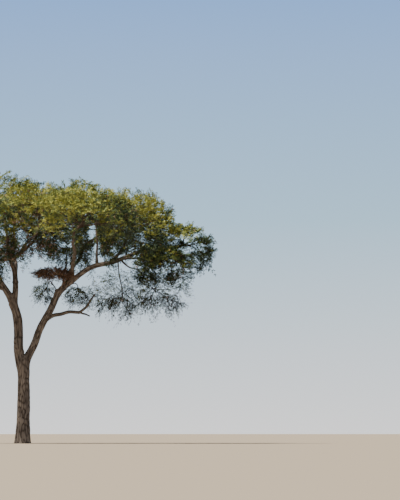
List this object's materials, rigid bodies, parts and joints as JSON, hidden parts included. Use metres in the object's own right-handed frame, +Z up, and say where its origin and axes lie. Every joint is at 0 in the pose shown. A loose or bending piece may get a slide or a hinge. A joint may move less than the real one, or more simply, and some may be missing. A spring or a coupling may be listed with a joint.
{
  "type": "acacia tree",
  "caption": "Tall flat-topped acacia with a forked trunk, spreading boughs, a wide layered crown of fine foliage, hanging sprays and a bare dead limb.",
  "frame": {"origin": "in the trunk's flat cut at ground level, close to the middle of its foot", "axes": "+Z up; +X along the long right arm of the crown; +Y away from the side that the picture shows"},
  "size_m": [18.6826, 16.9274, 13.9377],
  "materials": {
    "bark": "rough grey-brown bark with long ridges",
    "dead_wood": "bare weathered grey wood",
    "foliage": "fine matt olive to golden-green leaves",
    "shaded_foliage": "fine matt dark green leaves",
    "withered": "dry red-brown leaves and twigs"
  },
  "bodies": {
    "root": {"dead_limb": "dead_wood", "foliage_back": "foliage", "foliage_back_left": "foliage", "foliage_back_right": "foliage", "foliage_center": "foliage", "foliage_dead_spray": "withered", "foliage_front_left": "foliage", "foliage_front_right": "foliage", "foliage_inner_back_left": "foliage", "foliage_inner_back_right": "foliage", "foliage_inner_front_left": "foliage", "foliage_inner_front_right": "foliage", "foliage_inner_left": "foliage", "foliage_inner_right": "foliage", "foliage_left": "foliage", "foliage_low_left": "foliage", "foliage_mid_front": "foliage", "foliage_right": "foliage", "foliage_spray_left": "shaded_foliage", "foliage_spray_right": "shaded_foliage", "foliage_tip_right": "foliage", "foliage_under_inner": "shaded_foliage", "foliage_under_right": "foliage", "foliage_weep_back": "shaded_foliage", "foliage_weep_front": "shaded_foliage", "foliage_weep_left": "shaded_foliage", "foliage_weep_mid": "shaded_foliage", "foliage_weep_right": "shaded_foliage", "left_bough": "bark", "left_limb": "bark", "limb_back": "bark", "limb_back_left": "bark", "limb_back_right": "bark", "limb_center": "bark", "limb_dead_spray": "bark", "limb_front_left": "bark", "limb_front_right": "bark", "limb_inner_back_left": "bark", "limb_inner_back_right": "bark", "limb_inner_front_left": "bark", "limb_inner_front_right": "bark", "limb_inner_left": "bark", "limb_inner_right": "bark", "limb_low_left": "bark", "limb_mid_front": "bark", "limb_right": "bark", "limb_spray_left": "bark", "limb_spray_right": "bark", "limb_under_inner": "bark", "limb_under_right": "bark", "limb_weep_back": "bark", "limb_weep_front": "bark", "limb_weep_left": "bark", "limb_weep_mid": "bark", "limb_weep_right": "bark", "middle_limb": "bark", "right_arm": "bark", "right_bough": "bark", "trunk": "bark"}
  },
  "joints": []
}
